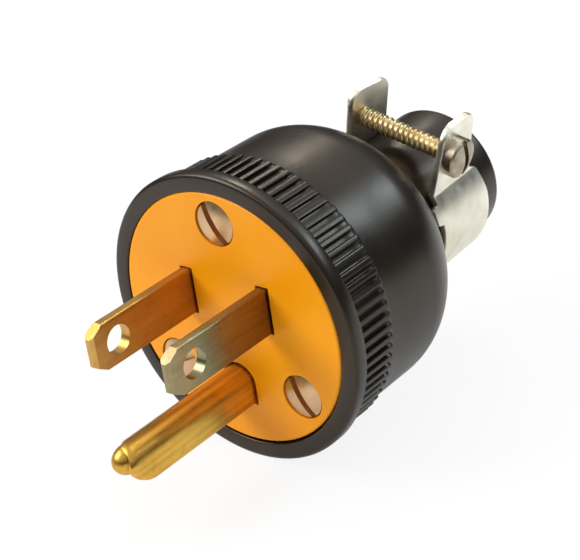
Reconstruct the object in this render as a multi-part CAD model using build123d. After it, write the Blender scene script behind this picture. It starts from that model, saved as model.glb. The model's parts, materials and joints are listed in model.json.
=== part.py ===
from build123d import *
from math import cos, radians, sin, sqrt
import os

# Plug connector for 15 A: two flat blades, a folded ground pin, a ribbed rubber body and a cord clamp.
# Millimetres. The body's axis is Y, the blades point to -Y and Z is up.
# The origin is the middle of the front plate's face.

# Rubber body, as radii about the body's axis and distances behind the face
rim_r = 19.6
rim_length = 2.0
rim_round = 0.6
rib_r = 19.8
rib_count = 80
rib_length = 6.2
groove_width = 0.66
groove_depth = 0.62
body_r = 18.95
waist_r = 18.8
shoulder_start = 17.0
shoulder_end = 30.3
neck_r = 9.7
neck_end = 47.5
neck_round = 0.9
root_round = 1.2
wall = 2.7
cord_bore_r = 5.5
bore_start = 27.0

# Front plate
plate_r = 17.6
plate_thick = 3.0
plate_round = 0.35
plate_gap = 0.12

# Terminal block behind the plate
block_thick = 2.5
block_gap = 0.2
barrier_thick = 1.6
barrier_end = 14.5
barrier_top = -3.0
barrier_half = 14.0

# Flat blades
blade_spacing = 12.7
blade_width = 6.35
blade_thick = 1.52
blade_length = 18.1
blade_rise = 2.94
blade_round = 0.3
tip_cut_long = 2.1
tip_cut_wide = 1.25
tip_bevel = 0.45
blade_hole_r = 1.95
blade_hole_back = 4.3
tab_width = 8.0
tab_end = 14.0
slot_gap_flat = 0.28
slot_gap_edge = 0.12
block_slot_gap = 0.1
lug_thick = 1.2
lug_reach = 1.3

# Ground pin, folded from sheet
ground_drop = 11.9
ground_r = 2.375
ground_sheet = 0.85
ground_height = 5.0
ground_wall_end = 20.4
ground_corner = 1.3
nose_r = 2.1
nose_reach = 22.9
nose_depth = 4.4
slit_width = 0.45
tongue_half = 0.95
ground_slot_gap = 0.35
ground_tab_half = 3.8

# Screws in the front plate and their inserts
face_screw_pitch_r = 13.5
face_screw_angles = {"top": 90.0, "right": -38.9, "left": -141.1}
face_slot_angles = {"top": -60.0, "right": -60.0, "left": 25.0}
screw_r = 1.75
face_head_r = 2.9
face_head_side = 1.35
face_head_crown = 0.45
face_recess_depth = 1.5
face_recess_gap = 0.2
driver_slot_width = 0.95
driver_slot_depth = 0.9
clear_hole_gap = 0.15
thread_gap = 0.03
insert_r = 2.6
insert_length = 8.0
insert_waist = 0.45
post_wall = 1.1

# Binding screws and the plates under them
terminal_head_r = 3.4
terminal_head_thick = 1.5
terminal_shank = 5.0
ground_shank = 3.4
clamp_plate_side = 7.6
clamp_plate_thick = 0.9
clamp_plate_corner = 1.0

# Cord clamp: a strap round the neck with two ears, drawn together by one screw
strap_thick = 0.95
strap_gap = 0.05
strap_front = 32.2
strap_rear = 43.4
clamp_turn = 14.0
ear_outer = 8.1
ear_base_front = 32.9
ear_base_rear = 40.8
ear_top_front = 34.3
ear_top_rear = 39.7
ear_top = 16.15
ear_corner = 1.3
flare_depth = 4.2
clamp_screw_height = 11.65
clamp_screw_back = 36.35
clamp_head_r = 3.45
clamp_head_side = 0.7
clamp_head_crown = 1.5
clamp_screw_end = 8.9
collar_wall = 0.95
collar_length = 1.0
locator_low = 3.5
locator_high = 5.7
locator_reach = 1.2

# Places that follow from the sizes above
band_end = rim_length + rib_length
cavity_r = waist_r - wall
block_r = cavity_r - block_gap
block_back = plate_thick + block_thick
blade_x = blade_spacing / 2
ground_z = blade_rise - ground_drop
ground_top = ground_z + ground_r
ground_bottom = ground_top - ground_height
tab_middle = (block_back + tab_end) / 2
strap_inner = neck_r + strap_gap
strap_outer = strap_inner + strap_thick
clear_hole_r = screw_r + clear_hole_gap
tapped_r = screw_r + thread_gap


def rod(radius, y_front, y_back, x=0, z=0):
    # A plain cylinder along the body's axis.
    disc = Plane.XZ.offset(-y_front) * Pos(x, z) * Circle(radius)
    return extrude(disc, -(y_back - y_front))


def slab(x_low, x_high, y_low, y_high, z_low, z_high):
    size = Box(x_high - x_low, y_high - y_low, z_high - z_low)
    return Pos((x_low + x_high) / 2, (y_low + y_high) / 2, (z_low + z_high) / 2) * size


def turned(lines):
    # A closed outline with X as the radius, turned about the body's axis.
    return revolve(make_face(Curve() + lines), Axis.Y)


def ring_edges(solid, y):
    circles = solid.edges().filter_by(GeomType.CIRCLE)
    return circles.filter_by_position(Axis.Y, y - 0.01, y + 0.01).sort_by(SortBy.RADIUS)


def screw_place(name):
    angle = radians(face_screw_angles[name])
    return face_screw_pitch_r * cos(angle), face_screw_pitch_r * sin(angle)


def headed_screw(head_r, side, crown, shank_end, slot_angle):
    # A screw along Y whose head bears on y = 0 and faces -Y, with a domed top and a driver slot.
    top = -side - crown
    head = turned([
        Line((0, 0), (head_r, 0)),
        Line((head_r, 0), (head_r, -side)),
        ThreePointArc((head_r, -side), (head_r * 0.62, -side - crown * 0.68), (0, top)),
        Line((0, top), (0, 0)),
    ])
    slot = slab(-2 * head_r, 2 * head_r, top - 1, top + driver_slot_depth,
                -driver_slot_width / 2, driver_slot_width / 2)
    shank = rod(screw_r, -0.01, shank_end)
    tip = ring_edges(shank, shank_end)
    shank = chamfer(tip, 0.4)
    return head - Rot(0, -slot_angle, 0) * slot + shank


def insert_blank(name):
    # The outside of a moulded-in insert, with a waist that the rubber grips.
    x, z = screw_place(name)
    back = block_back + insert_length
    waist_front = block_back + insert_length / 3
    waist_back = block_back + insert_length * 2 / 3
    blank = rod(insert_r, block_back, back, x, z)
    groove = rod(insert_r + 1, waist_front, waist_back, x, z)
    core = rod(insert_r - insert_waist, waist_front, waist_back, x, z)
    return blank - (groove - core)


def body_envelope():
    # The outside of the body without its ribs. The shoulder is a parabola from the waist to the neck.
    shoulder_middle = (shoulder_start + shoulder_end) / 2
    corners = [
        (0, neck_end), (0, 0), (rim_r, 0), (rim_r, rim_length), (rib_r, rim_length),
        (rib_r, band_end), (body_r, band_end + 0.3), (waist_r, shoulder_start),
    ]
    shape = turned([
        Polyline(*corners),
        Bezier((waist_r, shoulder_start), (waist_r, shoulder_middle), (neck_r, shoulder_end)),
        Line((neck_r, shoulder_end), (neck_r, neck_end)),
        Line((neck_r, neck_end), (0, neck_end)),
    ])
    shape = fillet(ring_edges(shape, 0)[-1], rim_round)
    shape = fillet(ring_edges(shape, shoulder_end)[-1], root_round)
    return fillet(ring_edges(shape, neck_end)[-1], neck_round)


def grip_grooves():
    # Grooves between the ribs. A rib, not a groove, is at the very bottom.
    floor = rib_r - groove_depth
    height = rib_r + 1 - floor
    groove = slab(floor, floor + height, rim_length, band_end + 1,
                  -groove_width / 2, groove_width / 2)
    pitch = 360 / rib_count
    return [Rot(0, 90 + pitch * (i + 0.5), 0) * groove for i in range(rib_count)]


def housing():
    outside = body_envelope()
    dome_middle = (shoulder_start + bore_start) / 2
    cavity = turned([
        Line((0, plate_thick), (cavity_r, plate_thick)),
        Line((cavity_r, plate_thick), (cavity_r, shoulder_start - wall)),
        Bezier((cavity_r, shoulder_start - wall), (cavity_r, dome_middle), (cord_bore_r, bore_start)),
        Line((cord_bore_r, bore_start), (0, bore_start)),
        Line((0, bore_start), (0, plate_thick)),
    ])
    recess = rod(plate_r + plate_gap, -1, plate_thick)
    bore = rod(cord_bore_r, bore_start - 1, neck_end + 1)
    shape = outside - grip_grooves() - recess - cavity - bore
    for name in face_screw_angles:
        x, z = screw_place(name)
        post = rod(insert_r + post_wall, block_back, bore_start, x, z) & outside
        shape = shape + post
    for name in face_screw_angles:
        x, z = screw_place(name)
        pilot = rod(clear_hole_r, block_back, block_back + insert_length + 2, x, z)
        shape = shape - insert_blank(name) - pilot
    return shape


def ground_section(gap):
    # The pin's outline across its length: a round crown on straight sides.
    half = ground_r + gap
    low = ground_bottom - gap
    crown = Pos(0, ground_z) * Circle(half)
    sides = Pos(0, (ground_z + low) / 2) * Rectangle(2 * half, ground_z - low)
    return crown + sides


def along_y(sketch, y_front, y_back):
    return extrude(Plane.XZ.offset(-y_front) * sketch, -(y_back - y_front))


def face_plate():
    shape = rod(plate_r, 0, plate_thick)
    shape = fillet(ring_edges(shape, 0)[-1], plate_round)
    half_flat = blade_thick / 2 + slot_gap_flat
    half_edge = blade_width / 2 + slot_gap_edge
    for side in (-1, 1):
        x = side * blade_x
        shape = shape - slab(x - half_flat, x + half_flat, -1, plate_thick + 1,
                             blade_rise - half_edge, blade_rise + half_edge)
    shape = shape - along_y(ground_section(ground_slot_gap), -1, plate_thick + 1)
    for name in face_screw_angles:
        x, z = screw_place(name)
        shape = shape - rod(face_head_r + face_recess_gap, -1, face_recess_depth, x, z)
        shape = shape - rod(clear_hole_r, 0, plate_thick + 1, x, z)
    return shape


def blade_lug(side, gap):
    # The cross-bar that the plate and the block hold between them.
    half = blade_thick / 2 + gap
    reach = blade_width / 2 + lug_reach + gap
    x = side * blade_x
    return slab(x - half, x + half, plate_thick, plate_thick + lug_thick + gap,
                blade_rise - reach, blade_rise + reach)


def ground_lug(gap):
    reach = ground_r + lug_reach + gap
    return slab(-reach, reach, plate_thick, plate_thick + lug_thick + gap,
                ground_bottom - gap, ground_bottom + ground_height / 2 + gap)


def terminal_block():
    shape = rod(block_r, plate_thick, block_back)
    post_edge = face_screw_pitch_r - insert_r - post_wall
    low = barrier_top - barrier_thick
    shape = shape + slab(-barrier_half, barrier_half, block_back, barrier_end, low, barrier_top)
    shape = shape + slab(-barrier_thick / 2, barrier_thick / 2, block_back, barrier_end,
                         low, post_edge - block_gap)
    half_flat = blade_thick / 2 + block_slot_gap
    half_edge = blade_width / 2 + block_slot_gap
    for side in (-1, 1):
        x = side * blade_x
        shape = shape - slab(x - half_flat, x + half_flat, plate_thick, block_back,
                             blade_rise - half_edge, blade_rise + half_edge)
        shape = shape - blade_lug(side, block_slot_gap)
    shape = shape - along_y(ground_section(block_slot_gap), plate_thick, block_back)
    shape = shape - ground_lug(block_slot_gap)
    for name in face_screw_angles:
        x, z = screw_place(name)
        shape = shape - rod(clear_hole_r, plate_thick, block_back, x, z)
    return shape


def flat_blade(side):
    # One blade: a flat strip with a cut tip and a hole, a cross-bar, and a wider tab for the wire.
    half = blade_width / 2
    tip_half = half - tip_cut_wide
    tip = -blade_length
    outline = Polyline(
        (tip, -tip_half), (tip + tip_cut_long, -half), (block_back, -half), (block_back, -tab_width / 2),
        (tab_end, -tab_width / 2), (tab_end, tab_width / 2), (block_back, tab_width / 2), (block_back, half),
        (tip + tip_cut_long, half), (tip, tip_half), close=True,
    )
    strip = extrude(Plane.YZ * make_face(outline), blade_thick / 2, both=True)
    tip_edges = strip.edges().filter_by(Axis.Z).filter_by_position(Axis.Y, tip - 0.01, tip + 0.01)
    strip = chamfer(tip_edges, tip_bevel)
    long_edges = strip.edges().filter_by(Axis.Y).filter_by_position(Axis.Y, tip, 0)
    strip = fillet(long_edges, blade_round)
    hole = Rot(0, 90, 0) * Cylinder(blade_hole_r, blade_thick * 3)
    screw_hole = Rot(0, 90, 0) * Cylinder(tapped_r, blade_thick * 3)
    strip = strip - Pos(0, tip + blade_hole_back, 0) * hole - Pos(0, tab_middle, 0) * screw_hole
    return Pos(side * blade_x, 0, blade_rise) * strip + blade_lug(side, 0)


def ground_pin():
    # Sheet folded to a channel that is open below, with a tongue folded down over its end.
    hollow_half = ground_r - ground_sheet
    channel = ground_section(0)
    hollow = Pos(0, ground_z) * Circle(hollow_half)
    hollow = hollow + Pos(0, ground_z - ground_height) * Rectangle(2 * hollow_half, 2 * ground_height)
    shape = along_y(channel - hollow, -ground_wall_end, block_back)
    corner = slab(-2 * ground_r, 2 * ground_r, -ground_wall_end - 1, -ground_wall_end + ground_corner,
                  ground_bottom - 1, ground_bottom + ground_corner)
    corner_round = Rot(0, 90, 0) * Cylinder(ground_corner, 5 * ground_r)
    corner = corner - Pos(0, -ground_wall_end + ground_corner, ground_bottom + ground_corner) * corner_round
    shape = shape - corner
    nose_centre = -(nose_reach - nose_r)
    low = ground_top - nose_depth
    ball = Pos(0, nose_centre, ground_z) * Sphere(nose_r)
    post = Pos(0, nose_centre, (ground_z + low) / 2) * Cylinder(nose_r, ground_z - low)
    crown = rod(nose_r, nose_centre, -ground_wall_end + ground_r, 0, ground_z)
    nose = ball + post + crown
    inner_r = nose_r - ground_sheet
    ball_in = Pos(0, nose_centre, ground_z) * Sphere(inner_r)
    post_in = Pos(0, nose_centre, ground_z - ground_height) * Cylinder(inner_r, 2 * ground_height)
    crown_in = rod(inner_r, nose_centre, 0, 0, ground_z)
    behind = slab(-inner_r, inner_r, nose_centre, 0, ground_z - 2 * ground_height, ground_z)
    nose = nose - ball_in - post_in - crown_in - behind
    tongue_low = ground_z + tongue_half
    slit = slab(-2 * ground_r, 2 * ground_r, nose_centre, 0, ground_z - 2 * ground_height, tongue_low)
    shape = shape + (nose - slit)
    tab = slab(-ground_tab_half, ground_tab_half, block_back, tab_end, ground_top - ground_sheet, ground_top)
    tab = tab - Pos(0, tab_middle, ground_top) * Cylinder(tapped_r, 4 * ground_sheet)
    lug = ground_lug(0) - slab(-hollow_half, hollow_half, 0, block_back,
                               ground_bottom - 1, ground_top - ground_sheet)
    return shape + tab + lug


def face_screw(name):
    x, z = screw_place(name)
    end = block_back + insert_length - 0.5 - face_recess_depth
    screw = headed_screw(face_head_r, face_head_side, face_head_crown, end, face_slot_angles[name])
    return Pos(x, face_recess_depth, z) * screw


def screw_insert(name):
    x, z = screw_place(name)
    return insert_blank(name) - rod(tapped_r, block_back - 1, block_back + insert_length + 1, x, z)


def clamp_plate():
    # A square plate with cut corners, lying in the XZ plane with its back on y = 0.
    square = Rectangle(clamp_plate_side, clamp_plate_side)
    square = chamfer(square.vertices(), clamp_plate_corner)
    return along_y(square, -clamp_plate_thick, 0) - rod(clear_hole_r, -clamp_plate_thick - 1, 1)


def terminal_parts():
    # Each binding screw faces away from its tab: the blades' to the sides, the ground's down.
    tab_face = blade_x + blade_thick / 2
    ground_face = ground_top - ground_sheet
    places = {
        "hot": Pos(-tab_face, tab_middle, blade_rise) * Rot(0, 0, -90),
        "neutral": Pos(tab_face, tab_middle, blade_rise) * Rot(0, 0, 90),
        "ground": Pos(0, tab_middle, ground_face) * Rot(90, 0, 0),
    }
    shanks = {"hot": terminal_shank, "neutral": terminal_shank, "ground": ground_shank}
    parts = {}
    for name, place in places.items():
        screw = headed_screw(terminal_head_r, terminal_head_thick * 0.7, terminal_head_thick * 0.3,
                             shanks[name], 30)
        parts[name + "_terminal_screw"] = place * Pos(0, -clamp_plate_thick, 0) * screw
        parts[name + "_wire_clamp"] = place * clamp_plate()
    return parts


def clamp_strap():
    # Modelled with its ears straight up, then turned to where it sits on the neck.
    middle_r = strap_inner + strap_thick / 2
    ear_middle = ear_outer - strap_thick / 2
    bend = sqrt(middle_r ** 2 - ear_middle ** 2)
    ring = Circle(strap_outer) - Circle(strap_inner)
    gap = Pos(0, bend + strap_outer) * Rectangle(4 * strap_outer, 2 * strap_outer)
    section = ring - gap
    for side in (-1, 1):
        ear = Pos(side * ear_middle, (bend + ear_top) / 2) * Rectangle(strap_thick, ear_top - bend)
        section = section + ear
    solid = along_y(section, strap_front - locator_reach, strap_rear)
    base = bend - strap_thick / 2
    outline = Polyline(
        (strap_front, -2 * strap_outer), (strap_rear, -2 * strap_outer), (strap_rear, base - flare_depth),
        (strap_rear - 0.5, base - flare_depth / 2), (ear_base_rear, base), (ear_top_rear, ear_top),
        (ear_top_front, ear_top), (ear_base_front, base), (strap_front, base - 1.0), close=True,
    )
    blank = make_face(outline)
    top_corners = blank.vertices().sort_by(Axis.Y)[-2:]
    blank = fillet(top_corners, ear_corner)
    locator = Pos(strap_front, (locator_low + locator_high) / 2) * Rectangle(
        2 * locator_reach, locator_high - locator_low)
    blank = blank + locator
    trim = extrude(Plane.YZ * blank, 2 * strap_outer, both=True)
    shape = solid & trim
    across = Rot(0, 90, 0)
    place = Pos(0, clamp_screw_back, clamp_screw_height)
    inner_face = ear_outer - strap_thick
    collar = Pos(-inner_face + collar_length / 2, 0, 0) * across * Cylinder(tapped_r + collar_wall, collar_length)
    shape = shape + place * collar
    shape = shape - place * Pos(ear_outer, 0, 0) * across * Cylinder(clear_hole_r, 4)
    shape = shape - place * Pos(-ear_outer, 0, 0) * across * Cylinder(tapped_r, 8)
    return Rot(0, clamp_turn, 0) * shape


def clamp_screw():
    length = ear_outer + clamp_screw_end
    screw = headed_screw(clamp_head_r, clamp_head_side, clamp_head_crown, length, 20)
    place = Pos(ear_outer, clamp_screw_back, clamp_screw_height) * Rot(0, 0, 90)
    return Rot(0, clamp_turn, 0) * place * screw


def all_parts():
    parts = {
        "housing": housing(),
        "face_plate": face_plate(),
        "terminal_block": terminal_block(),
        "hot_blade": flat_blade(-1),
        "neutral_blade": flat_blade(1),
        "ground_pin": ground_pin(),
        "clamp_strap": clamp_strap(),
        "clamp_screw": clamp_screw(),
    }
    for name in face_screw_angles:
        parts["face_screw_" + name] = face_screw(name)
        parts["screw_insert_" + name] = screw_insert(name)
    parts.update(terminal_parts())
    return parts


os.makedirs("parts", exist_ok=True)
for part_name, solid in all_parts().items():
    export_step(solid, "parts/" + part_name + ".step")
    print(part_name, round(solid.volume, 1))
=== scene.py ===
import json
from math import atan2, cos, degrees, pi, radians, sin, sqrt

import bmesh
import bpy
import numpy as np
from mathutils import Matrix, Vector


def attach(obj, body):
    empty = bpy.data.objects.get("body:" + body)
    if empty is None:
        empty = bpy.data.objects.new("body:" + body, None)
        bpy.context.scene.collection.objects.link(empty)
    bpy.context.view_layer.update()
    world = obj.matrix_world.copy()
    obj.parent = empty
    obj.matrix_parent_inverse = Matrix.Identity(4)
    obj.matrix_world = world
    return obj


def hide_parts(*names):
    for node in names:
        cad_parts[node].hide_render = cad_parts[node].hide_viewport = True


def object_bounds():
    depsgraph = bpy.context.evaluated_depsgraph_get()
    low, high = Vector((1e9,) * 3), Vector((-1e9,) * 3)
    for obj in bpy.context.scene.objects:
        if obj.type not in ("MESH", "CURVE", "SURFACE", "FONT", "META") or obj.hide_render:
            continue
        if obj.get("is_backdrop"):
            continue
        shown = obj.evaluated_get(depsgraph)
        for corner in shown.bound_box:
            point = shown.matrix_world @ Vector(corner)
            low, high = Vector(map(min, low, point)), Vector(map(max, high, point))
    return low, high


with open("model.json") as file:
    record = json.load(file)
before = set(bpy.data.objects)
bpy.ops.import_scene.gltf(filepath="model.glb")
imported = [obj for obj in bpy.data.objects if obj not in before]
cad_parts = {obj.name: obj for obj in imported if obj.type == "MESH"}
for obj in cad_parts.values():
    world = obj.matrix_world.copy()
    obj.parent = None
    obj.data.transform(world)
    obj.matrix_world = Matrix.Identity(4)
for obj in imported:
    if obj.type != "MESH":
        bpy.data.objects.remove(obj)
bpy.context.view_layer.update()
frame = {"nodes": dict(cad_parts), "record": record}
nodes = frame["nodes"]
mm = 0.001
print("frame loaded:", len(nodes), "nodes")


# Camera, solved from the blades and the round face
cameraSettings = {
    "position": (131.23, -128.52, 98.16),  # mm
    "view": (-0.6075, 0.6511, -0.4550),
    "up": (-0.2013, 0.4279, 0.8811),
    "lens": 102.07,  # mm
    "sensor": 36.0,  # mm
    "clip": (0.01, 20.0),  # m
}


def makeCamera(s):
    data = bpy.data.cameras.new("camera")
    data.lens = s["lens"]
    data.sensor_width = s["sensor"]
    data.clip_start, data.clip_end = s["clip"]
    camera = bpy.data.objects.new("camera", data)
    bpy.context.scene.collection.objects.link(camera)
    back = -Vector(s["view"]).normalized()
    up = Vector(s["up"])
    up = (up - up.dot(back) * back).normalized()
    right = up.cross(back)
    turn = Matrix((right, up, back)).transposed()
    camera.matrix_world = Matrix.Translation(Vector(s["position"]) * mm) @ turn.to_4x4()
    bpy.context.scene.camera = camera


makeCamera(cameraSettings)
print("camera is set")


# Node helpers for the materials
def newMaterial(name):
    mat = bpy.data.materials.new(name)
    mat.use_nodes = True
    tree = mat.node_tree
    shader = tree.nodes["Principled BSDF"]
    return mat, tree, shader


def objectPoint(tree, scale=(1, 1, 1)):
    coord = tree.nodes.new("ShaderNodeTexCoord")
    mapping = tree.nodes.new("ShaderNodeMapping")
    mapping.inputs["Scale"].default_value = scale
    tree.links.new(coord.outputs["Object"], mapping.inputs["Vector"])
    return mapping.outputs["Vector"]


def linkMath(tree, operation, first, second):
    node = tree.nodes.new("ShaderNodeMath")
    node.operation = operation
    for socket, value in zip(node.inputs, (first, second)):
        if isinstance(value, (int, float)):
            socket.default_value = value
        else:
            tree.links.new(value, socket)
    return node.outputs[0]


def noise(tree, vector, scale, detail=3.0, rough=0.5):
    node = tree.nodes.new("ShaderNodeTexNoise")
    node.inputs["Scale"].default_value = scale
    node.inputs["Detail"].default_value = detail
    node.inputs["Roughness"].default_value = rough
    tree.links.new(vector, node.inputs["Vector"])
    return node.outputs["Fac"]


def ramp(tree, value, stops):
    node = tree.nodes.new("ShaderNodeValToRGB")
    ends = node.color_ramp.elements
    while len(ends) > 1:
        ends.remove(ends[0])
    ends[0].position, ends[0].color = stops[0][0], (*stops[0][1], 1)
    for place, colour in stops[1:]:
        ends.new(place).color = (*colour, 1)
    tree.links.new(value, node.inputs["Fac"])
    return node.outputs["Color"]


def multiply(tree, first, second):
    node = tree.nodes.new("ShaderNodeMix")
    node.data_type = "RGBA"
    node.blend_type = "MULTIPLY"
    node.inputs["Factor"].default_value = 1.0
    tree.links.new(first, node.inputs[6])
    tree.links.new(second, node.inputs[7])
    return node.outputs[2]


def grey(value):
    return (value, value, value)


def bump(tree, height, strength, distance, shader):
    node = tree.nodes.new("ShaderNodeBump")
    node.inputs["Strength"].default_value = strength
    node.inputs["Distance"].default_value = distance
    tree.links.new(height, node.inputs["Height"])
    tree.links.new(node.outputs["Normal"], shader.inputs["Normal"])


def srgb(r, g, b):
    # From the 0 to 255 values of a picture to linear light
    c = np.array((r, g, b)) / 255
    return tuple(float(x) for x in np.where(c <= 0.04045, c / 12.92, ((c + 0.055) / 1.055) ** 2.4))


def rubberFinish():
    mat, tree, shader = newMaterial("bodyRubber")
    p = objectPoint(tree)
    tone = noise(tree, p, 90, 4)
    colour = ramp(tree, tone, [(0.3, srgb(22, 16, 11)), (0.7, srgb(32, 23, 16))])
    tree.links.new(colour, shader.inputs["Base Color"])
    gloss = ramp(tree, noise(tree, p, 160, 4), [(0.3, grey(0.27)), (0.7, grey(0.36))])
    tree.links.new(gloss, shader.inputs["Roughness"])
    shader.inputs["IOR"].default_value = 1.5
    shader.inputs["Specular Tint"].default_value = (1.0, 0.87, 0.73, 1)
    bump(tree, noise(tree, p, 2500, 2), 0.25, 0.00003, shader)
    return mat


def plateFinish():
    mat, tree, shader = newMaterial("frontPlastic")
    p = objectPoint(tree)
    colour = ramp(tree, noise(tree, p, 120, 3), [(0.3, srgb(254, 160, 2)), (0.7, srgb(255, 167, 8))])
    tree.links.new(colour, shader.inputs["Base Color"])
    shader.inputs["Roughness"].default_value = 0.42
    shader.inputs["Specular IOR Level"].default_value = 0.28
    bump(tree, noise(tree, p, 900, 3), 0.2, 0.00002, shader)
    return mat


def metalFinish(name, dark, light, rough):
    mat, tree, shader = newMaterial(name)
    p = objectPoint(tree)
    colour = ramp(tree, noise(tree, p, 300, 4), [(0.3, dark), (0.7, light)])
    tree.links.new(colour, shader.inputs["Base Color"])
    shader.inputs["Metallic"].default_value = 1.0
    gloss = ramp(tree, noise(tree, p, 500, 4), [(0.3, grey(rough * 0.8)), (0.7, grey(rough * 1.2))])
    tree.links.new(gloss, shader.inputs["Roughness"])
    return mat


def tarnished(name, stops, streak, rough, grain):
    # Metal whose colour runs along Y, where place 0 is 24 mm before the face and place 1 is the face.
    # The blotches shift the place by 0.1 either way, so 0.9 here and their middle make 1 at the face.
    mat, tree, shader = newMaterial(name)
    coord = tree.nodes.new("ShaderNodeTexCoord")
    parts = tree.nodes.new("ShaderNodeSeparateXYZ")
    tree.links.new(coord.outputs["Object"], parts.inputs[0])
    blotch = noise(tree, objectPoint(tree), 260, 5, 0.6)
    place = linkMath(tree, "ADD", linkMath(tree, "MULTIPLY", parts.outputs["Y"], 1 / 0.024), 0.9)
    place = linkMath(tree, "ADD", place, linkMath(tree, "MULTIPLY", blotch, 0.2))
    base = ramp(tree, place, stops)
    lines = noise(tree, objectPoint(tree, grain), 1400, 3, 0.6)
    shade = ramp(tree, lines, [(0.32, grey(1 - streak)), (0.66, grey(1.0))])
    spots = ramp(tree, noise(tree, objectPoint(tree), 700, 4, 0.7), [(0.25, grey(0.84)), (0.5, grey(1.0))])
    tree.links.new(multiply(tree, multiply(tree, base, shade), spots), shader.inputs["Base Color"])
    shader.inputs["Metallic"].default_value = 1.0
    gloss = ramp(tree, blotch, [(0.3, grey(rough * 0.8)), (0.7, grey(rough * 1.25))])
    tree.links.new(gloss, shader.inputs["Roughness"])
    bump(tree, lines, 0.35, 0.00002, shader)
    return mat


def boltFinish():
    # Yellow plate on the thread, worn to grey on the head, from 9.6 to 10.8 mm to the right
    mat, tree, shader = newMaterial("clampScrewPlated")
    coord = tree.nodes.new("ShaderNodeTexCoord")
    parts = tree.nodes.new("ShaderNodeSeparateXYZ")
    tree.links.new(coord.outputs["Object"], parts.inputs[0])
    p = objectPoint(tree)
    onHead = tree.nodes.new("ShaderNodeMapRange")
    onHead.inputs["From Min"].default_value = 0.0096
    onHead.inputs["From Max"].default_value = 0.0108
    tree.links.new(parts.outputs["X"], onHead.inputs["Value"])
    mix = tree.nodes.new("ShaderNodeMix")
    mix.data_type = "RGBA"
    tree.links.new(onHead.outputs["Result"], mix.inputs["Factor"])
    thread = ramp(tree, noise(tree, p, 300, 4), [(0.3, srgb(198, 172, 120)), (0.7, srgb(226, 202, 156))])
    head = ramp(tree, noise(tree, p, 420, 5, 0.6), [(0.3, srgb(128, 112, 92)), (0.7, srgb(196, 186, 164))])
    tree.links.new(thread, mix.inputs[6])
    tree.links.new(head, mix.inputs[7])
    tree.links.new(mix.outputs[2], shader.inputs["Base Color"])
    shader.inputs["Metallic"].default_value = 1.0
    shader.inputs["Roughness"].default_value = 0.34
    return mat


# Colours along the blades and the pin, each with its place from 0 near the tip to 1 at the face
tarnishStops = {
    "blade_brass": [(0.1, srgb(208, 164, 92)), (0.5, srgb(204, 160, 88)), (0.95, srgb(188, 142, 76))],
    "blade_plated": [(0.08, srgb(190, 176, 130)), (0.22, srgb(158, 146, 112)), (0.36, srgb(162, 140, 100)),
                     (0.5, srgb(142, 142, 108)), (0.66, srgb(160, 132, 86)), (0.95, srgb(150, 116, 70))],
    "pin_brass": [(0.1, srgb(228, 178, 80)), (0.5, srgb(238, 192, 88)), (0.95, srgb(230, 186, 90))],
}
finishes = {
    "body_rubber": rubberFinish(),
    "front_plastic": plateFinish(),
    "inner_plastic": metalFinish("innerPlastic", srgb(60, 50, 45), srgb(70, 60, 50), 0.6),
    "blade_brass": tarnished("bladeBrass", tarnishStops["blade_brass"], 0.16, 0.36, (1, 0.06, 1)),
    "blade_plated": tarnished("bladePlated", tarnishStops["blade_plated"], 0.2, 0.3, (1, 0.08, 1)),
    "pin_brass": tarnished("pinBrass", tarnishStops["pin_brass"], 0.34, 0.34, (1, 0.03, 1)),
    "strap_plated": metalFinish("strapPlated", srgb(222, 216, 196), srgb(244, 240, 226), 0.36),
    "clamp_screw_plated": boltFinish(),
    "screw_nickel": metalFinish("screwNickel", srgb(195, 160, 120), srgb(215, 180, 140), 0.32),
    "binding_brass": metalFinish("bindingBrass", srgb(210, 170, 80), srgb(225, 185, 100), 0.3),
    "binding_green": metalFinish("bindingGreen", srgb(40, 130, 60), srgb(50, 150, 70), 0.4),
    "inner_steel": metalFinish("innerSteel", srgb(190, 190, 185), srgb(205, 205, 200), 0.35),
}
slotOf = {row["node"]: row["material_slot"] for row in frame["record"]["subparts"]}
for name, obj in nodes.items():
    for place in obj.material_slots:
        place.material = finishes[slotOf[name]]
print("finishes given to", len(nodes), "nodes")


# Surfaces in millimetres, as grids of points, and the frames that they are placed in
bodyDrop = -0.18  # mm, the body's axis lies this far below the middle of the contacts' layout
neckSettings = {"pivot": 30.5, "lean": 3.4, "turn": 14.0}  # mm and degrees


def gridFaces(rows, columns, wrapRows, start):
    # Quads (i, j), (i, j+1), (i+1, j+1), (i+1, j); columns always close on themselves
    i = np.arange(rows if wrapRows else rows - 1)[:, None]
    j = np.arange(columns)[None, :]
    nextI, nextJ = (i + 1) % rows, (j + 1) % columns
    corners = [i * columns + j, i * columns + nextJ, nextI * columns + nextJ, nextI * columns + j]
    return np.stack([np.broadcast_to(c, (len(i), columns)) for c in corners], -1).reshape(-1, 4) + start


def makePiece(name, grids, replaced, sharp):
    # One mesh from several closed grids, each given as (points, wrapRows), sharp past that angle
    points, faces, count = [], [], 0
    for grid, wrapRows in grids:
        rows, columns = grid.shape[:2]
        points.append(grid.reshape(-1, 3))
        faces.append(gridFaces(rows, columns, wrapRows, count))
        count += rows * columns
    mesh = bpy.data.meshes.new(name)
    mesh.from_pydata(np.concatenate(points) * mm, [], np.concatenate(faces).tolist())
    work = bmesh.new()
    work.from_mesh(mesh)
    bmesh.ops.remove_doubles(work, verts=work.verts, dist=1e-8)
    bmesh.ops.recalc_face_normals(work, faces=work.faces)
    work.to_mesh(mesh)
    work.free()
    mesh.shade_smooth()
    mesh.set_sharp_from_angle(angle=radians(sharp))
    piece = bpy.data.objects.new(name, mesh)
    bpy.context.scene.collection.objects.link(piece)
    mesh.materials.append(finishes[slotOf[replaced]])
    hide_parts(replaced)
    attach(piece, "root")
    print(name, "has", len(mesh.polygons), "faces")


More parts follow.
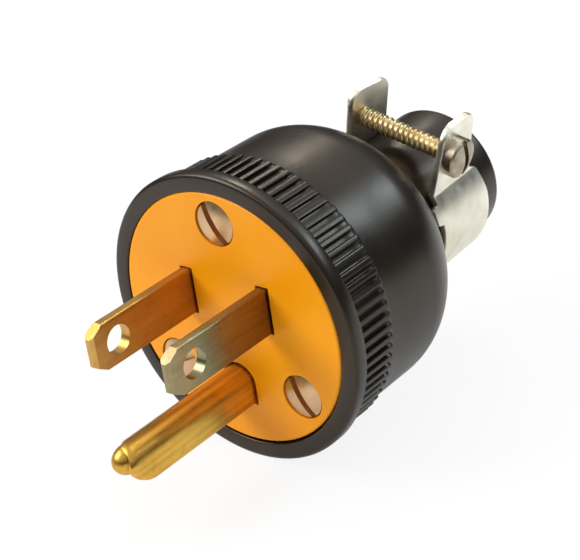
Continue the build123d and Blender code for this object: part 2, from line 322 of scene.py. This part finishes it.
def smooth(x, low, high):
    # Smoothstep: t*t*(3 - 2t) with t = (x - low) / (high - low) held between 0 and 1
    t = np.clip((x - low) / (high - low), 0, 1)
    return t * t * (3 - 2 * t)


def lean(points, share=1.0):
    # Turns by the neck's lean about X through the pivot: y' = y cos - z sin, z' = y sin + z cos
    angle = np.radians(neckSettings["lean"]) * share
    y, z = points[..., 1] - neckSettings["pivot"], points[..., 2]
    return np.stack([points[..., 0], neckSettings["pivot"] + y * np.cos(angle) - z * np.sin(angle),
                     y * np.sin(angle) + z * np.cos(angle) + bodyDrop], -1)


def clampFrame(points):
    # The clamp is turned about the neck's axis, x' = x cos + z sin, z' = z cos - x sin, then leans with it
    angle = radians(neckSettings["turn"])
    x, z = points[..., 0], points[..., 2]
    across, height = x * cos(angle) + z * sin(angle), z * cos(angle) - x * sin(angle)
    return lean(np.stack([across, points[..., 1], height], -1))


def arc(centre, radius, start, end, count):
    # centre + radius (cos a, sin a) for a from start to end, in degrees
    a = np.radians(np.linspace(start, end, count))
    return np.stack([centre[0] + radius * np.cos(a), centre[1] + radius * np.sin(a)], -1)


# Rubber body: a profile of radius and depth turned about the axis, ribbed, with its neck drawn up
bodySettings = {  # mm and degrees
    "rim": 20.15, "rimEnd": 2.0, "rib": 19.5, "groove": 0.64, "bandEnd": 8.2, "body": 18.95,
    "waist": 18.85, "shoulder": 18.25, "shoulderEnd": 30.5, "neck": 9.8, "neckEnd": 47.5, "bore": 5.5,
    "boreStart": 27.0, "recess": 17.72, "floor": 3.0, "cavity": 16.1, "ribs": 80, "perRib": 14,
    "post": 3.7, "insert": 2.6, "postFront": 5.5, "postEnd": 15.5, "pitch": 13.5,
    "screwAngles": (90.0, -38.9, -141.1),
    "recessRound": 0.22, "rimRound": 0.6, "shoulderBlend": 0.35, "neckRound": 0.9, "boreRound": 0.5,
    "wall": 2.7, "grooveEdges": (0.40, 0.60), "grooveFade": 0.9, "grooveEnd": 0.6, "leanStart": 24.0,
}


def bodyProfile(s):
    # The outline from the recess's floor round the rim, the band, the shoulder, the neck and the bore
    t = np.linspace(0, 1, 22)[1:-1, None]
    middle = (s["shoulder"] + s["shoulderEnd"]) / 2
    first = np.array((s["waist"], s["shoulder"]))
    second = np.array((s["waist"], middle))
    third = np.array((s["neck"] + s["shoulderBlend"], s["shoulderEnd"] - s["shoulderBlend"]))
    shoulder = (1 - t) ** 2 * first + 2 * t * (1 - t) * second + t ** 2 * third
    band = [(s["rib"], y) for y in (s["rimEnd"] + 0.06, 3.2, 4.6, 6.0, 7.4, s["bandEnd"])]
    parts = [
        [(s["recess"], s["floor"]), (s["recess"], 0.35)],
        arc((s["recess"] + s["recessRound"], s["recessRound"]), s["recessRound"], 180, 270, 5),
        arc((s["rim"] - s["rimRound"], s["rimRound"]), s["rimRound"], 270, 360, 8),
        [(s["rim"], s["rimEnd"] - 0.12), (s["rim"] - 0.07, s["rimEnd"])],
        [(s["rib"] + 0.1, s["rimEnd"])], band,
        [(s["body"] + 0.04, s["bandEnd"] + 0.32), (s["body"] - 0.02, s["bandEnd"] + 0.8)],
        [(s["body"] - 0.04, 11.5), (s["body"] - 0.07, 14.8), first], shoulder,
        arc((s["neck"] + s["neckRound"], s["shoulderEnd"] + 0.75), s["neckRound"], 245, 180, 6),
        [(s["neck"], y) for y in (32.6, 35, 38, 41, 44)],
        arc((s["neck"] - s["neckRound"], s["neckEnd"] - s["neckRound"]), s["neckRound"], 0, 90, 8),
        arc((s["bore"] + s["boreRound"], s["neckEnd"] - s["boreRound"]), s["boreRound"], 90, 180, 5),
        [(s["bore"], 44), (s["bore"], 38), (s["bore"], s["boreStart"] + 2)],
        [(s["bore"] + 0.8, s["boreStart"]), (s["cavity"], s["shoulder"] - s["wall"]),
         (s["cavity"], s["floor"])],
    ]
    return np.concatenate([np.asarray(p, float).reshape(-1, 2) for p in parts])


def bodySurface(s):
    # Point (i, j) is (r cos a, y, r sin a). Within the band r loses groove * g(a) * fade(y), where g is
    # 0 on a rib and 1 between two, and fade falls from 1 to grooveEnd at the band's back edge. Behind
    # leanStart the point takes a growing share of the neck's lean.
    profile = bodyProfile(s)
    a = np.arange(s["ribs"] * s["perRib"]) / (s["ribs"] * s["perRib"]) * 2 * pi
    phase = np.abs(((a + pi / 2) * s["ribs"] / (2 * pi)) % 1 - 0.5) * 2  # 0 between ribs, 1 on a rib
    groove = 1 - smooth(phase, *s["grooveEdges"])
    r, y = profile[:, 0][:, None], profile[:, 1][:, None]
    inBand = (y > s["rimEnd"]) & (y <= s["bandEnd"]) & (r > s["body"]) & (r < s["rim"] - 0.2)
    fade = 1 - smooth(y, s["bandEnd"] - s["grooveFade"], s["bandEnd"]) * (1 - s["grooveEnd"])
    radius = r - inBand * fade * s["groove"] * groove[None, :]
    depth = np.broadcast_to(y, radius.shape)
    points = np.stack([radius * np.cos(a), depth, radius * np.sin(a)], -1)
    return lean(points, smooth(y, s["leanStart"], s["shoulderEnd"]))


def postSurface(s, angle):
    # A post round an insert: the rectangle from insert to post, and from postFront to postEnd, turned
    # about the screw's axis at x = pitch cos(angle), z = pitch sin(angle)
    outline = np.array([(s["insert"], s["postFront"]), (s["post"], s["postFront"]),
                        (s["post"], s["postEnd"]), (s["insert"], s["postEnd"])])
    a = np.linspace(0, 2 * pi, 40, endpoint=False)
    r, y = outline[:, 0][:, None], outline[:, 1][:, None]
    x, z = s["pitch"] * cos(radians(angle)), s["pitch"] * sin(radians(angle))
    return np.stack([x + r * np.cos(a), np.broadcast_to(y, (4, 40)), z + r * np.sin(a)], -1)


makePiece("rubberBody", [(bodySurface(bodySettings), True)]
          + [(postSurface(bodySettings, angle), True) for angle in bodySettings["screwAngles"]],
          "housing", 55)


# Clamp strap: a folded sheet that runs from the left ear round under the neck to the right ear
strapSettings = {  # mm and degrees
    "thick": 0.95, "inner": 9.87, "face": 8.1, "bend": 1.3, "front": 32.35, "rear": 43.3,
    "rightTop": 16.9, "leftTop": 16.5, "rightFront": (32.4, 34.1), "rightRear": (41.1, 40.9),
    "leftFront": 34.0, "leftRear": 41.2, "corner": 1.6, "frontCorner": 2.1, "twist": 9.0, "flare": 4.2,
    "flareDepth": 0.6, "edge": 0.18, "lugLow": 3.6, "lugHigh": 5.8, "lugReach": 1.1, "earStart": 9.0,
    "foldHalf": 0.7, "twistFrom": -3.0, "twistTo": 1.0, "acrossSteps": 14,
}


def strapPath(s):
    # The sheet's middle line (x, z): the right ear from its top down, then its bend, then the ring.
    # The steps near the top follow frontCorner's curve, frontCorner * (1 - cos t).
    middle, x = s["inner"] + s["thick"] / 2, s["face"] - s["thick"] / 2
    centreX = x + s["bend"]
    centreR = middle + s["bend"]
    centreZ = sqrt(centreR ** 2 - centreX ** 2)
    start = degrees(atan2(centreZ, centreX))
    fall = s["frontCorner"] * (1 - np.cos(np.linspace(0, pi / 2, 22)))
    straight = np.linspace(s["rightTop"] - fall[-1], centreZ, 12)[:-1]
    height = np.concatenate([s["rightTop"] - fall[:-1], straight])
    ear = np.stack([np.full(len(height), x), height], -1)
    bend = arc((centreX, centreZ), s["bend"], 180, 180 + start, 8)
    ring = arc((0, 0), middle, start, -180 - start, 150)[1:]
    return ear, bend, ring


def strapSurface(s):
    # The right half of the path is mirrored to make the left, whose ear ends at leftTop. Each step of
    # the path carries a closed loop: thick across, and from front(z) to rear(z) along the neck, where
    # both pass from the ring's edges to the ear's by up(z) and the ear's corners are quarter circles.
    # On the left the sheet turns with x += tan(twist) * (y - leftFront).
    ear, bend, ring = strapPath(s)
    rightHalf = np.concatenate([ear, bend, ring[: len(ring) // 2]])
    leftHalf = (rightHalf * (-1, 1))[::-1]
    path = np.concatenate([rightHalf, leftHalf])
    tangent = np.gradient(path, axis=0)
    tangent /= np.linalg.norm(tangent, axis=1, keepdims=True)
    normal = np.stack([-tangent[:, 1], tangent[:, 0]], -1)
    onLeft = path[:, 0] < 0
    shorter = onLeft & (path[:, 1] > s["earStart"])
    z = np.where(shorter, path[:, 1] * s["leftTop"] / s["rightTop"], path[:, 1])
    bendZ = sqrt((s["inner"] + s["thick"]) ** 2 - s["face"] ** 2)
    up = smooth(z, bendZ - s["foldHalf"], bendZ + s["foldHalf"])
    rise = np.clip((z - bendZ) / (s["rightTop"] - bendZ), 0, 1)
    (lowFront, topFront), (lowRear, topRear) = s["rightFront"], s["rightRear"]
    rightFront = lowFront + (topFront - lowFront) * rise
    rightRear = lowRear + (topRear - lowRear) * rise
    top = np.where(onLeft, s["leftTop"], s["rightTop"])
    into = np.clip(z - (top - s["corner"]), 0, s["corner"])
    rounding = s["corner"] - np.sqrt(np.maximum(s["corner"] ** 2 - into ** 2, 0))
    flare = smooth(z, bendZ - s["flare"], bendZ)
    lug = s["lugReach"] * ((z > s["lugLow"]) & (z < s["lugHigh"]) & ~onLeft)
    intoFront = np.clip(z - (top - s["frontCorner"]), 0, s["frontCorner"])
    frontRound = s["frontCorner"] - np.sqrt(np.maximum(s["frontCorner"] ** 2 - intoFront ** 2, 0))
    earFront = np.where(onLeft, s["leftFront"], rightFront) + frontRound
    earRear = np.where(onLeft, s["leftRear"], rightRear) - rounding
    front = s["front"] + (earFront - s["front"]) * up - lug
    rear = s["rear"] - s["flareDepth"] * flare + (earRear - (s["rear"] - s["flareDepth"])) * up
    half, e, count = s["thick"] / 2, s["edge"], s["acrossSteps"]
    along = np.linspace(0, 1, count)[None, :]
    f, r = front[:, None], rear[:, None]
    outer = f + e + (r - f - 2 * e) * along
    edge = np.array((0.3, 0.7))[None, :] * 2 * half - half
    y = np.concatenate([outer, np.broadcast_to(r, (len(f), 2)), outer[:, ::-1],
                        np.broadcast_to(f, (len(f), 2))], 1)
    side = np.concatenate([np.full(count, half), -edge[0], np.full(count, -half), edge[0]])[None, :]
    points = np.stack([path[:, :1] + normal[:, :1] * side, y, z[:, None] + normal[:, 1:] * side], -1)
    turning = onLeft * smooth(z, bendZ + s["twistFrom"], bendZ + s["twistTo"])
    swing = np.tan(np.radians(s["twist"])) * turning[:, None]
    points[..., 0] += swing * (points[..., 1] - s["leftFront"])
    first = np.broadcast_to(points[:1].mean(1, keepdims=True), points[:1].shape)
    last = np.broadcast_to(points[-1:].mean(1, keepdims=True), points[-1:].shape)
    return clampFrame(np.concatenate([first, points, last]))


makePiece("strapSheet", [(strapSurface(strapSettings), False)], "clamp_strap", 35)


# Ground pin: a sheet folded over a round crown, its ends drawn in round a ball nose
pinSettings = {  # mm
    "centre": -8.96, "radius": 2.375, "thick": 0.85, "bottom": -11.585, "back": 5.4,
    "tipMost": -22.3, "leftTip": 1.5, "tipHeight": -9.1, "above": 0.17, "below": 0.38,
    "drawn": 0.10, "drawLength": 1.2, "nose": (-0.12, -20.72, -8.7), "noseSize": (1.8, 2.25, 1.85),
    "leftFrom": (0.2, 1.6), "tipShare": 0.13, "thinned": (0.55, 0.9), "noseDent": 0.05,
    "tabLow": (-3.8, 5.2, -7.435), "tabHigh": (3.8, 14.0, -6.585),
}


def pinSection(s, offset):
    # An upside-down U at radius - offset: up the right wall, over the crown, down the left wall
    r = s["radius"] - offset
    wall = np.linspace(s["bottom"], s["centre"], 16)[:-1]
    right = np.stack([np.full(15, r), wall], -1)
    crown = arc((0, s["centre"]), r, 0, 180, 41)
    return np.concatenate([right, crown, (right * (-1, 1))[::-1]])


def pinSurface(s):
    # Each column of the section runs from back, behind the plate, to front(z) = tipMost +
    # k (z - tipHeight)^2, with k = above or below, and leftTip less on the left. Near its end the
    # sheet thins and the section shrinks by drawn towards the crown's centre.
    outer, inner = pinSection(s, 0.0), pinSection(s, s["thick"])
    middle = (outer + inner) / 2
    loop = np.concatenate([outer, inner[::-1]])
    line = np.concatenate([middle, middle[::-1]])
    z = line[:, 1]
    k = np.where(z > s["tipHeight"], s["above"], s["below"])
    shorter = s["leftTip"] * smooth(-line[:, 0], *s["leftFrom"])
    front = (s["tipMost"] + k * (z - s["tipHeight"]) ** 2 + shorter)[None, :]
    tipRows, backRows = np.linspace(0, s["tipShare"], 18), np.linspace(s["tipShare"], 1, 14)[1:]
    t = np.concatenate([[0], tipRows, backRows, [1]])[:, None]
    y = front + (s["back"] - front) * t
    keep = np.ones_like(t)
    keep[[0, -1]] = 0
    keep[1], keep[2] = s["thinned"]
    section = line[None] + (loop - line)[None] * keep[..., None]
    shrink = 1 - s["drawn"] * (1 - smooth(y, front, front + s["drawLength"])) ** 1.5
    x = section[..., 0] * shrink
    rise = section[..., 1] - s["centre"]
    height = s["centre"] + rise * np.where(rise > 0, shrink, 1)
    return np.stack([x, y, height], -1)


def noseSurface(s):
    # centre + size * (d cos e cos a, sin e, d cos e sin a), where d = 1 - noseDent cos 2a cos^2 e
    a = np.linspace(0, 2 * pi, 48, endpoint=False)[None, :]
    e = np.linspace(-pi / 2, pi / 2, 30)[:, None]
    dent = 1 - s["noseDent"] * np.cos(2 * a) * np.cos(e) ** 2
    size, centre = np.array(s["noseSize"]), np.array(s["nose"])
    ball = np.stack([np.cos(e) * np.cos(a) * dent, np.sin(e) + 0 * a, np.cos(e) * np.sin(a) * dent], -1)
    return centre + size * ball


def tabSurface(s):
    # The tab behind the plate: the rectangle (x, z) at both ends, drawn in to its middle to close it
    (x0, y0, z0), (x1, y1, z1) = s["tabLow"], s["tabHigh"]
    loop = np.array([(x0, z0), (x1, z0), (x1, z1), (x0, z1)])
    middle = loop.mean(0)
    share = np.array((0, 1, 1, 0))[:, None, None]
    corners = middle + (loop - middle) * share
    y = np.broadcast_to(np.array((y0, y0, y1, y1))[:, None], (4, 4))
    return np.stack([corners[..., 0], y, corners[..., 1]], -1)


makePiece("foldedPin", [(pinSurface(pinSettings), False), (noseSurface(pinSettings), False),
                        (tabSurface(pinSettings), False)], "ground_pin", 40)


# Clamp screw: a pan head with a driver slot, and a rolled thread
clampSettings = {  # mm
    "head": 2.8, "side": 1.55, "crown": 0.75, "slotHalf": 0.42, "slotDepth": 0.95, "face": 8.1,
    "back": 36.35, "height": 12.05, "crest": 1.36, "root": 1.08, "pitch": 0.85, "end": -8.7,
    "headEdge": 0.18, "taper": 0.35, "stepsPerPitch": 12,
}


def headSurface(s):
    # A chord at b across the head is a closed loop: over the dome from a = -1 to 1, down and back.
    # The dome's height is side + crown * (1 - q^1.8), with q the share of the radius, less headEdge
    # near the rim, and slotDepth below its middle within the slot.
    h = s["slotHalf"] / s["head"]
    b = np.concatenate([-np.cos(np.linspace(0, pi / 2, 16))[:-1] * (1 - h) - h, [-h, -h + 0.004],
                        np.linspace(-h + 0.02, h - 0.02, 4), [h - 0.004, h],
                        np.sin(np.linspace(0, pi / 2, 16))[1:] * (1 - h) + h])[:, None]
    a = np.sin(np.linspace(-pi / 2, pi / 2, 33))[None, :]
    chord = np.sqrt(np.maximum(1 - b ** 2, 0))
    q2 = (a * chord) ** 2 + b ** 2
    dome = s["side"] + s["crown"] * (1 - np.minimum(q2, 1) ** 0.9)
    dome = dome - s["headEdge"] * smooth(q2, 0.86, 1.0)
    inSlot = np.abs(b) < h - 0.002
    dome = np.where(inSlot, s["side"] + s["crown"] - s["slotDepth"], dome)
    along, across = a * chord * s["head"], b * s["head"] + 0 * a
    low = np.zeros_like(dome)
    x = np.concatenate([dome, low[:, ::-1]], 1)
    y = np.concatenate([across, across[:, ::-1]], 1)
    z = np.concatenate([along, along[:, ::-1]], 1)
    return clampFrame(np.stack([s["face"] + x, s["back"] + y, s["height"] + z], -1))


def threadSurface(s):
    # Radius root + (crest - root) * w(p), with p = x / pitch - a / 2 pi and w a rounded ridge. The last
    # turn fades out, and the end is smaller by taper.
    step = s["pitch"] / s["stepsPerPitch"]
    x = np.arange(s["face"], s["end"] - step, -step)[:, None]
    a = np.linspace(0, 2 * pi, 48, endpoint=False)[None, :]
    turn = np.abs((x / s["pitch"] - a / (2 * pi)) % 1 - 0.5) * 2
    ridge = smooth(turn, 0.15, 0.85) * smooth(x - s["end"], 0, 1.2)
    r = s["root"] + (s["crest"] - s["root"]) * ridge - s["taper"] * (1 - smooth(x - s["end"], -0.2, 0.5))
    body = np.stack([x + 0 * a, s["back"] + r * np.cos(a), s["height"] + r * np.sin(a)], -1)
    first, last = body[:1].copy(), body[-1:].copy()
    first[..., 1:] = (s["back"], s["height"])
    last[..., 1:] = (s["back"], s["height"])
    return clampFrame(np.concatenate([first, body, last]))


makePiece("clampBolt", [(headSurface(clampSettings), False), (threadSurface(clampSettings), False)],
          "clamp_screw", 35)


# Floor, world and lamps
stageSettings = {
    "size": 3.0,
    "floorGlow": 0.88,  # share of plain white that the camera sees in the floor
    "mirrorGlow": 0.42,  # share of white that the object's reflections see in the floor near it
    "tableNear": 0.13,  # m, the floor is pale as far out as this and dark beyond the next value
    "tableFar": 0.32,
    "tableLight": 0.92,
    "tableDark": 0.12,
    "roomLevels": [(0.50, 0.05), (0.60, 0.08), (0.72, 0.36), (0.85, 0.85), (1.0, 0.80)],
}


def makeFloor(s):
    # A plain pale floor that keeps the shadow, at the lowest point of what is shown
    half = s["size"] / 2
    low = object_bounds()[0].z
    mesh = bpy.data.meshes.new("floor")
    mesh.from_pydata([(-half, -half, low), (half, -half, low), (half, half, low), (-half, half, low)],
                     [], [(0, 1, 2, 3)])
    floor = bpy.data.objects.new("floor", mesh)
    bpy.context.scene.collection.objects.link(floor)
    floor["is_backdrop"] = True
    mat = bpy.data.materials.new("floorWhite")
    mat.use_nodes = True
    tree = mat.node_tree
    tree.nodes.clear()
    out = tree.nodes.new("ShaderNodeOutputMaterial")
    mix = tree.nodes.new("ShaderNodeMixShader")
    diffuse = tree.nodes.new("ShaderNodeBsdfDiffuse")
    coord = tree.nodes.new("ShaderNodeTexCoord")
    far = tree.nodes.new("ShaderNodeVectorMath")
    far.operation = "LENGTH"
    tree.links.new(coord.outputs["Object"], far.inputs[0])
    reach = tree.nodes.new("ShaderNodeMapRange")
    reach.inputs["From Min"].default_value = s["tableNear"]
    reach.inputs["From Max"].default_value = s["tableFar"]
    reach.inputs["To Min"].default_value = s["tableLight"]
    reach.inputs["To Max"].default_value = s["tableDark"]
    tree.links.new(far.outputs["Value"], reach.inputs["Value"])
    path = tree.nodes.new("ShaderNodeLightPath")
    white = linkMath(tree, "MAXIMUM", reach.outputs["Result"], path.outputs["Is Camera Ray"])
    tree.links.new(white, diffuse.inputs["Color"])
    glow = tree.nodes.new("ShaderNodeEmission")
    seen = linkMath(tree, "MULTIPLY", path.outputs["Is Camera Ray"], s["floorGlow"])
    mirrored = linkMath(tree, "MULTIPLY", path.outputs["Is Glossy Ray"], s["mirrorGlow"])
    share = linkMath(tree, "MAXIMUM", seen, linkMath(tree, "MULTIPLY", mirrored, reach.outputs["Result"]))
    tree.links.new(share, mix.inputs[0])
    tree.links.new(diffuse.outputs[0], mix.inputs[1])
    tree.links.new(glow.outputs[0], mix.inputs[2])
    tree.links.new(mix.outputs[0], out.inputs[0])
    mesh.materials.append(mat)


def makeWorld(s):
    # The room is dark at the horizon and pale overhead, by height from 0 below to 1 above. The camera
    # sees plain white behind the object.
    world = bpy.data.worlds.new("softRoom")
    world.use_nodes = True
    bpy.context.scene.world = world
    tree = world.node_tree
    tree.nodes.clear()
    out = tree.nodes.new("ShaderNodeOutputWorld")
    coord = tree.nodes.new("ShaderNodeTexCoord")
    parts = tree.nodes.new("ShaderNodeSeparateXYZ")
    tree.links.new(coord.outputs["Generated"], parts.inputs[0])
    height = linkMath(tree, "ADD", linkMath(tree, "MULTIPLY", parts.outputs["Z"], 0.5), 0.5)
    levels = ramp(tree, height, [(place, grey(level)) for place, level in s["roomLevels"]])
    room = tree.nodes.new("ShaderNodeBackground")
    tree.links.new(levels, room.inputs[0])
    white = tree.nodes.new("ShaderNodeBackground")
    white.inputs[0].default_value = (1, 1, 1, 1)
    path = tree.nodes.new("ShaderNodeLightPath")
    mix = tree.nodes.new("ShaderNodeMixShader")
    tree.links.new(path.outputs["Is Camera Ray"], mix.inputs[0])
    tree.links.new(room.outputs[0], mix.inputs[1])
    tree.links.new(white.outputs[0], mix.inputs[2])
    tree.links.new(mix.outputs[0], out.inputs[0])


lampSettings = {
    # azimuth 0 stands in front of the face, 90 to its right; degrees, metres, and brightness beside white
    "rearRight": {"azimuth": 147, "elevation": 33, "distance": 0.5, "size": (0.20, 0.10), "level": 8.5,
                  "colour": (0.70, 0.88, 1.0)},
    "rearLeft": {"azimuth": -147, "elevation": 45, "distance": 0.5, "size": (0.10, 0.07), "level": 17.0,
                 "colour": (1.0, 0.91, 0.80)},
    "frontLeft": {"azimuth": -50, "elevation": 42, "distance": 0.6, "size": (0.34, 0.34), "level": 7.0,
                  "colour": (1.0, 0.98, 0.95)},
    "overhead": {"azimuth": 180, "elevation": 66, "distance": 0.6, "size": (0.30, 0.25), "level": 1.1,
                 "colour": (1.0, 0.99, 0.97)},
}


def makeLamp(name, s):
    data = bpy.data.lights.new(name, "AREA")
    data.shape = "RECTANGLE"
    data.size, data.size_y = s["size"]
    data.energy = s["level"] * pi * s["size"][0] * s["size"][1]
    data.color = s["colour"]
    lamp = bpy.data.objects.new(name, data)
    bpy.context.scene.collection.objects.link(lamp)
    a, e = radians(s["azimuth"]), radians(s["elevation"])
    towards = Vector((sin(a) * cos(e), -cos(a) * cos(e), sin(e)))
    lamp.location = towards * s["distance"]
    lamp.rotation_mode = "QUATERNION"
    lamp.rotation_quaternion = towards.to_track_quat("Z", "Y")


makeFloor(stageSettings)
makeWorld(stageSettings)
for name, settings in lampSettings.items():
    makeLamp(name, settings)
bpy.context.scene.view_settings.view_transform = "Standard"
print("stage and lamps are set")
